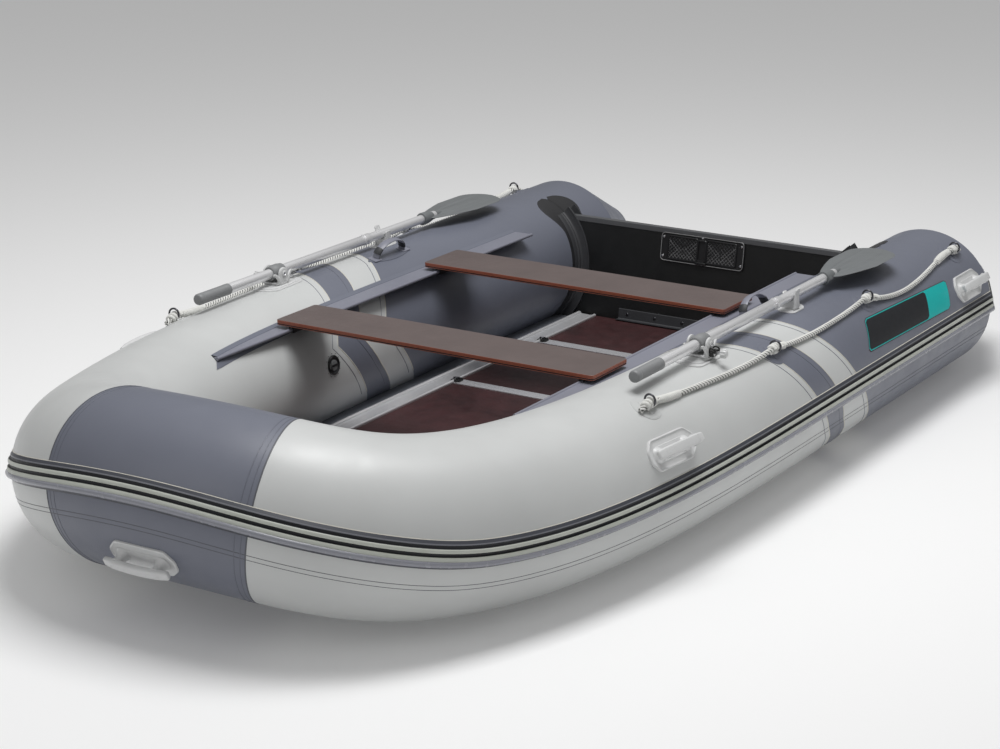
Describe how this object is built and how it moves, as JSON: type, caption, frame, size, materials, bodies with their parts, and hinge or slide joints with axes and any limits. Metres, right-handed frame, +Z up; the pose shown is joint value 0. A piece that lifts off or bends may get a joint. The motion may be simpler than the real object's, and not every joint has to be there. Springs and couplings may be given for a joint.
{
  "type": "inflatable boat",
  "caption": "Inflatable tender with a V bottom, plywood floor and transom, sliding bench seats on tube rails and a pair of oars in tilting rowlocks.",
  "frame": {"origin": "on the floor that the boat stands on, at the middle of its length and on its middle plane", "axes": "+X towards the bow, +Y to port, +Z up"},
  "size_m": [3.7076, 1.972, 0.5811],
  "materials": {
    "tube_dark": "satin",
    "tube_light": "satin",
    "strake_rubber": "satin",
    "bottom_cloth": "satin",
    "floor_ply": "textured film",
    "seat_ply": "matt film",
    "transom_ply": "satin film",
    "profile_metal": "brushed",
    "grey_plastic": "satin",
    "rail_cloth": "matt",
    "steel": "polished",
    "black_plastic": "matt",
    "grey_cloth": "matt",
    "black_cloth": "matt",
    "rope_white": "braided",
    "oar_tube": "anodised",
    "grip_rubber": "matt"
  },
  "bodies": {
    "hull": {"aft_panels": "tube_dark", "air_valves": "black_plastic", "bottom_fabric": "bottom_cloth", "bow_handle": "grey_plastic", "bow_panel": "tube_dark", "cross_profiles": "profile_metal", "dark_bands": "tube_dark", "floor_board_aft": "floor_ply", "floor_board_bow": "floor_ply", "floor_board_front": "floor_ply", "floor_board_middle": "floor_ply", "floor_stringers": "profile_metal", "front_panels": "tube_light", "keel_strip": "strake_rubber", "keel_tube": "bottom_cloth", "lifeline_rings": "steel", "light_bands": "tube_light", "loop_handles": "grey_cloth", "motor_plate_inner": "black_plastic", "motor_plate_outer": "black_plastic", "oar_clips": "grey_plastic", "port_lifeline": "rope_white", "ring_patches": "grey_cloth", "rowlock_bases": "grey_plastic", "rowlock_forks": "grey_plastic", "seat_rails": "rail_cloth", "side_handles": "grey_plastic", "starboard_lifeline": "rope_white", "strake_bow": "strake_rubber", "strake_sides": "strake_rubber", "strake_tails": "strake_rubber", "tail_cones": "tube_dark", "transom": "transom_ply", "transom_foot_strip": "black_plastic", "transom_holders": "black_cloth"},
    "front_seat": {"seat_front_board": "seat_ply", "seat_front_channels": "black_plastic"},
    "rear_seat": {"seat_rear_board": "seat_ply", "seat_rear_channels": "black_plastic"},
    "port_oar": {"port_oar_shaft": "oar_tube", "port_oar_grip": "grip_rubber", "port_oar_collar": "black_plastic", "port_oar_joint_ring": "black_plastic", "port_oar_blade": "black_plastic"},
    "starboard_oar": {"starboard_oar_shaft": "oar_tube", "starboard_oar_grip": "grip_rubber", "starboard_oar_collar": "black_plastic", "starboard_oar_joint_ring": "black_plastic", "starboard_oar_blade": "black_plastic"}
  },
  "joints": [
    {"name": "front_seat_slide", "type": "slide", "parent": "hull", "child": "front_seat", "axis": [1, 0, 0], "range_m": [-0.3, 0.17]},
    {"name": "rear_seat_slide", "type": "slide", "parent": "hull", "child": "rear_seat", "axis": [1, 0, 0], "range_m": [-0.4, 0.29]},
    {"name": "port_oar_tilt", "type": "hinge", "parent": "hull", "child": "port_oar", "pos_m": [0.24116, 0.748, 0.5162], "axis": [0, 1, 0], "range_deg": [0, 3]},
    {"name": "starboard_oar_tilt", "type": "hinge", "parent": "hull", "child": "starboard_oar", "pos_m": [0.24116, -0.748, 0.5162], "axis": [0, 1, 0], "range_deg": [0, 3]}
  ]
}
